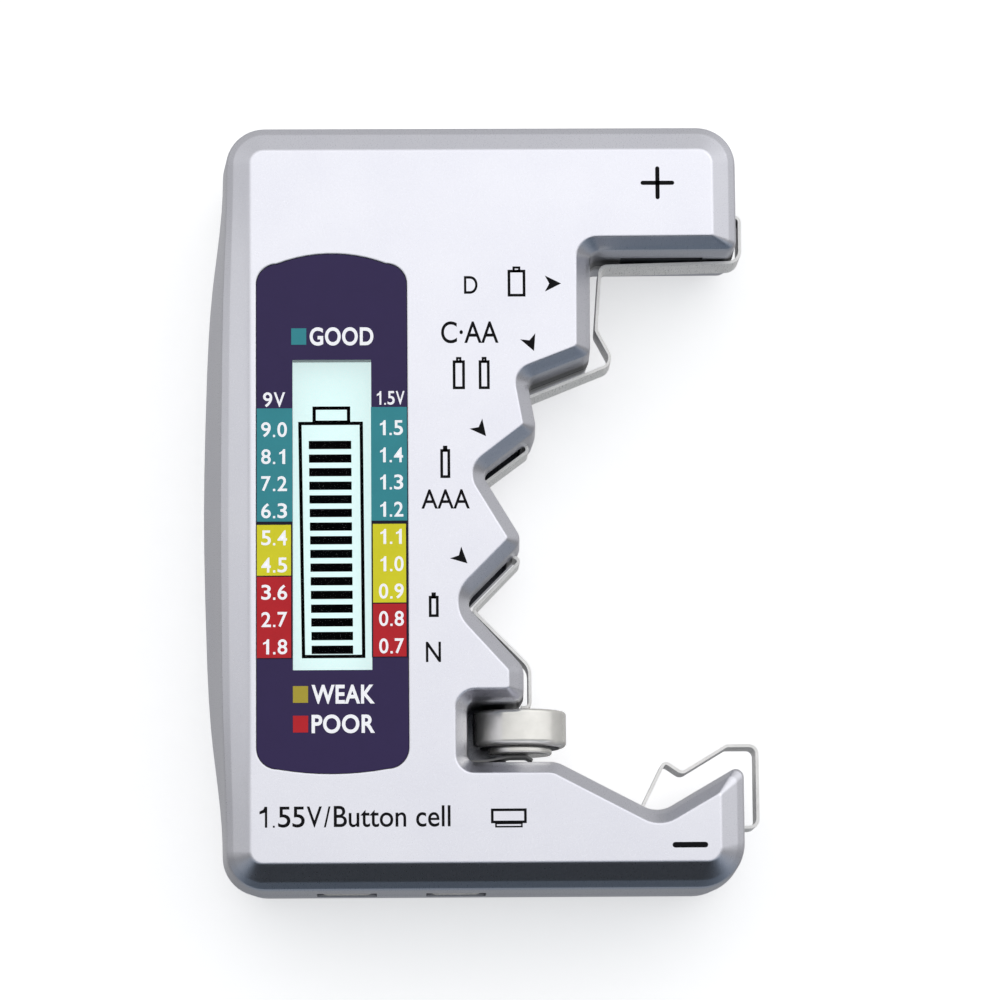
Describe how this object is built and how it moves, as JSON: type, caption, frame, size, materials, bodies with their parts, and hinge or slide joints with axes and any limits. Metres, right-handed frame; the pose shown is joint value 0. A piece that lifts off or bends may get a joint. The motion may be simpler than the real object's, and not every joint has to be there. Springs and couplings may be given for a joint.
{
  "type": "battery tester",
  "caption": "Handheld battery tester: flat case with a stepped jaw for round cells, bar-graph display, sprung contacts, snap-battery pads and a button-cell slot.",
  "frame": {"origin": "on the resting plane under the middle of the object, which lies on its back", "axes": "+Z out of the display face, +Y to the top of the display, +X to the open side of the jaw"},
  "size_m": [0.0687, 0.0951, 0.023],
  "materials": {
    "case_paint": "satin silver paint on moulded plastic",
    "label_film": "satin dark purple printed film with coloured voltage bars",
    "clear_lens": "clear polished plastic",
    "lcd_glass": "polished plate glass",
    "polariser_film": "pale cyan film",
    "reflector_film": "pale satin reflector film",
    "white_plastic": "plain moulded",
    "board_laminate": "green solder mask",
    "black_epoxy": "poured epoxy",
    "ferrite": "matt grey ferrite",
    "resistor_body": "black glaze on ceramic",
    "capacitor_body": "tan ceramic",
    "elastomer": "soft silicone",
    "nickel_strip": "brushed nickel plate",
    "nickel_pad": "matt textured nickel plate",
    "screw_steel": "zinc plated",
    "red_insulation": "PVC insulation",
    "black_insulation": "PVC insulation",
    "cell_steel": "polished nickel-plated steel",
    "gasket_plastic": "dark nylon",
    "cell_filling": "pressed powder and separator"
  },
  "bodies": {
    "case": {"front_shell": "case_paint", "rear_shell": "case_paint", "display_label": "label_film", "display_window": "clear_lens", "lcd_polariser": "polariser_film", "lcd_front_glass": "lcd_glass", "lcd_back_glass": "lcd_glass", "lcd_reflector": "reflector_film", "lcd_frame": "white_plastic", "circuit_board": "board_laminate", "driver_chip": "black_epoxy", "boost_inductor": "ferrite", "rectifier_diode": "black_epoxy", "chip_resistors": "resistor_body", "chip_capacitors": "capacitor_body", "zebra_strip": "elastomer", "plus_contact_d_c": "nickel_strip", "plus_contact_aaa": "nickel_strip", "plus_contact_n": "nickel_strip", "nine_volt_contact_left": "nickel_pad", "nine_volt_contact_right": "nickel_pad", "case_screws": "screw_steel", "board_screws": "screw_steel", "lead_d_c": "red_insulation", "lead_aaa": "red_insulation", "lead_n": "red_insulation", "lead_button": "black_insulation", "lead_minus": "black_insulation", "lead_nine_volt_left": "red_insulation", "lead_nine_volt_right": "black_insulation"},
    "minus_spring": {"minus_spring": "nickel_strip"},
    "button_leaf": {"button_minus_contact": "nickel_strip"},
    "button_cell": {"cell_can": "cell_steel", "cell_cap": "cell_steel", "cell_gasket": "gasket_plastic", "cell_core": "cell_filling"}
  },
  "joints": [
    {"name": "minus_spring_press", "type": "hinge", "parent": "case", "child": "minus_spring", "pos_m": [0.0313, -0.03975, 0.0115], "axis": [0, 0, 1], "range_deg": [0, 8], "stiffness_Nm_per_rad": 0.2},
    {"name": "button_leaf_press", "type": "hinge", "parent": "case", "child": "button_leaf", "pos_m": [-0.0027, -0.0313, 0.0115], "axis": [0, 0, -1], "range_deg": [0, 2], "stiffness_Nm_per_rad": 0.02},
    {"name": "cell_slide", "type": "slide", "parent": "case", "child": "button_cell", "axis": [1, 0, 0], "range_m": [0, 0.014]}
  ]
}
